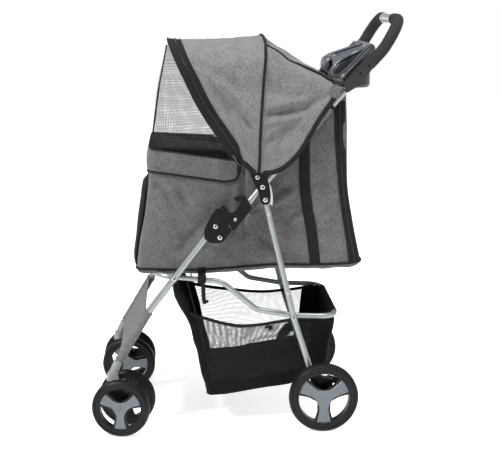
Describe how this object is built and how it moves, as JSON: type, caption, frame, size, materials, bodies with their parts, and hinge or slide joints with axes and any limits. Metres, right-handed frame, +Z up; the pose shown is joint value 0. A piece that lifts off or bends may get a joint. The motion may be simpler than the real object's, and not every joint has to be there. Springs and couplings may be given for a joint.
{
  "type": "pet stroller",
  "caption": "Folding pet stroller with a zipped fabric cabin and hood, silver tube frame, cup-holder tray, lower basket, swivelling twin front casters and braked rear wheels.",
  "frame": {"origin": "on the floor, midway between the front wheels' leading edge and the handle's rear, on the centre line", "axes": "+Z up; -Y towards the front, where the casters are; +X towards the stroller's own left side"},
  "size_m": [0.4931, 0.757, 1.0062],
  "materials": {
    "frame_tube": "satin silver paint",
    "bright_metal": "bright zinc",
    "black_plastic": "moulded, fine grain",
    "grey_plastic": "moulded, fine grain",
    "tray_plastic": "moulded, slight sheen",
    "foam": "closed-cell foam",
    "grey_cloth": "melange woven polyester",
    "black_cloth": "woven polyester",
    "mesh_cloth": "open knitted mesh",
    "webbing": "ribbed webbing",
    "tyre": "matt",
    "rim_plastic": "moulded",
    "board": "textured"
  },
  "bodies": {
    "rail": {"lower_rail": "frame_tube", "basket": "black_cloth", "cabin_body": "grey_cloth", "front_panel": "black_cloth", "floor_board": "board", "cushion": "grey_cloth", "rail_straps": "webbing", "support_straps": "webbing", "window_mesh": "mesh_cloth"},
    "front_legs": {"front_leg_left": "frame_tube", "front_leg_right": "frame_tube", "latch_base_left": "black_plastic", "latch_base_right": "black_plastic", "caster_socket_left": "grey_plastic", "caster_socket_right": "grey_plastic", "leg_rivets": "bright_metal", "footrest": "grey_cloth"},
    "handle": {"handle_tube": "frame_tube", "grip_left": "foam", "grip_right": "foam", "handle_sleeve": "bright_metal", "cup_tray": "tray_plastic", "tray_clamps": "tray_plastic", "hinge_bracket_left": "black_plastic", "hinge_bracket_right": "black_plastic", "hinge_stays": "frame_tube", "hinge_rivets": "bright_metal", "canopy_rear": "grey_cloth"},
    "rear_legs": {"rear_leg_left": "frame_tube", "rear_leg_right": "frame_tube", "rear_axle": "bright_metal", "axle_housing_left": "black_plastic", "axle_housing_right": "black_plastic", "rear_rivets": "bright_metal"},
    "mid_bow_frame": {"mid_bow": "frame_tube", "canopy_front": "grey_cloth"},
    "front_bow_frame": {"front_bow": "frame_tube"},
    "latch_left": {"latch_slider_left": "black_plastic"},
    "rear_wheel_left": {"rear_tyre_left": "tyre", "rear_rim_left": "rim_plastic"},
    "brake_left": {"brake_pedal_left": "black_plastic"},
    "caster_left": {"caster_fork_left": "black_plastic", "caster_axle_left": "bright_metal"},
    "front_wheel_left_outer": {"front_tyre_left_outer": "tyre", "front_rim_left_outer": "rim_plastic"},
    "front_wheel_left_inner": {"front_tyre_left_inner": "tyre", "front_rim_left_inner": "rim_plastic"},
    "zip_left": {"zip_slider_left": "bright_metal"},
    "latch_right": {"latch_slider_right": "black_plastic"},
    "rear_wheel_right": {"rear_tyre_right": "tyre", "rear_rim_right": "rim_plastic"},
    "brake_right": {"brake_pedal_right": "black_plastic"},
    "caster_right": {"caster_fork_right": "black_plastic", "caster_axle_right": "bright_metal"},
    "front_wheel_right_outer": {"front_tyre_right_outer": "tyre", "front_rim_right_outer": "rim_plastic"},
    "front_wheel_right_inner": {"front_tyre_right_inner": "tyre", "front_rim_right_inner": "rim_plastic"},
    "zip_right": {"zip_slider_right": "bright_metal"}
  },
  "joints": [
    {"name": "fold", "type": "hinge", "parent": "rail", "child": "front_legs", "pos_m": [0, -0.1825, 0.3795], "axis": [1, 0, 0], "range_deg": [0, 76], "deforming": ["cabin_body", "window_mesh", "front_panel", "support_straps", "basket"]},
    {"name": "handle_fold", "type": "hinge", "parent": "front_legs", "child": "handle", "pos_m": [0, -0.073, 0.481], "axis": [1, 0, 0], "range_deg": [-127.5, 0]},
    {"name": "rear_leg_fold", "type": "hinge", "parent": "handle", "child": "rear_legs", "pos_m": [0, 0.036, 0.571], "axis": [1, 0, 0], "range_deg": [0, 85.7]},
    {"name": "canopy", "type": "hinge", "parent": "handle", "child": "mid_bow_frame", "pos_m": [0, 0.0168, 0.6253], "axis": [1, 0, 0], "range_deg": [-28, 0], "deforming": ["canopy_rear", "canopy_front"]},
    {"name": "front_bow_turn", "type": "hinge", "parent": "mid_bow_frame", "child": "front_bow_frame", "pos_m": [0, 0.0168, 0.6253], "axis": [1, 0, 0], "range_deg": [-31, 0]},
    {"name": "latch_left_slide", "type": "slide", "parent": "handle", "child": "latch_left", "axis": [0, 0.6466, 0.7628], "range_m": [0, 0.012]},
    {"name": "rear_wheel_left_spin", "type": "hinge", "parent": "rear_legs", "child": "rear_wheel_left", "pos_m": [0.221, 0.178, 0.085], "axis": [1, 0, 0], "continuous": true},
    {"name": "brake_left_press", "type": "hinge", "parent": "rear_legs", "child": "brake_left", "pos_m": [0.169, 0.196, 0.116], "axis": [1, 0, 0], "range_deg": [-16, 0]},
    {"name": "caster_left_swivel", "type": "hinge", "parent": "front_legs", "child": "caster_left", "pos_m": [0.186, -0.335, 0.128], "axis": [0, 0, 1], "continuous": true},
    {"name": "front_wheel_left_outer_spin", "type": "hinge", "parent": "caster_left", "child": "front_wheel_left_outer", "pos_m": [0.23157, -0.31458, 0.0705], "axis": [0.9888, -0.1495, 0], "continuous": true},
    {"name": "front_wheel_left_inner_spin", "type": "hinge", "parent": "caster_left", "child": "front_wheel_left_inner", "pos_m": [0.14851, -0.30202, 0.0705], "axis": [0.9888, -0.1495, 0], "continuous": true},
    {"name": "zip_left_slide", "type": "slide", "parent": "front_bow_frame", "child": "zip_left", "axis": [-0.0683, -0.5295, 0.8455], "range_m": [0, 0.22]},
    {"name": "latch_right_slide", "type": "slide", "parent": "handle", "child": "latch_right", "axis": [0, 0.6466, 0.7628], "range_m": [0, 0.012]},
    {"name": "rear_wheel_right_spin", "type": "hinge", "parent": "rear_legs", "child": "rear_wheel_right", "pos_m": [-0.221, 0.178, 0.085], "axis": [1, 0, 0], "continuous": true},
    {"name": "brake_right_press", "type": "hinge", "parent": "rear_legs", "child": "brake_right", "pos_m": [-0.169, 0.196, 0.116], "axis": [1, 0, 0], "range_deg": [-16, 0]},
    {"name": "caster_right_swivel", "type": "hinge", "parent": "front_legs", "child": "caster_right", "pos_m": [-0.186, -0.335, 0.128], "axis": [0, 0, 1], "continuous": true},
    {"name": "front_wheel_right_outer_spin", "type": "hinge", "parent": "caster_right", "child": "front_wheel_right_outer", "pos_m": [-0.228, -0.308, 0.0705], "axis": [1, 0, 0], "continuous": true},
    {"name": "front_wheel_right_inner_spin", "type": "hinge", "parent": "caster_right", "child": "front_wheel_right_inner", "pos_m": [-0.144, -0.308, 0.0705], "axis": [1, 0, 0], "continuous": true},
    {"name": "zip_right_slide", "type": "slide", "parent": "front_bow_frame", "child": "zip_right", "axis": [0.0683, -0.5295, 0.8455], "range_m": [0, 0.22]}
  ],
  "couplings": [
    {"joint": "handle_fold", "follows": "fold", "ratio": -1.6765},
    {"joint": "rear_leg_fold", "follows": "fold", "ratio": 1.126},
    {"joint": "front_bow_turn", "follows": "canopy", "ratio": 1.1}
  ]
}
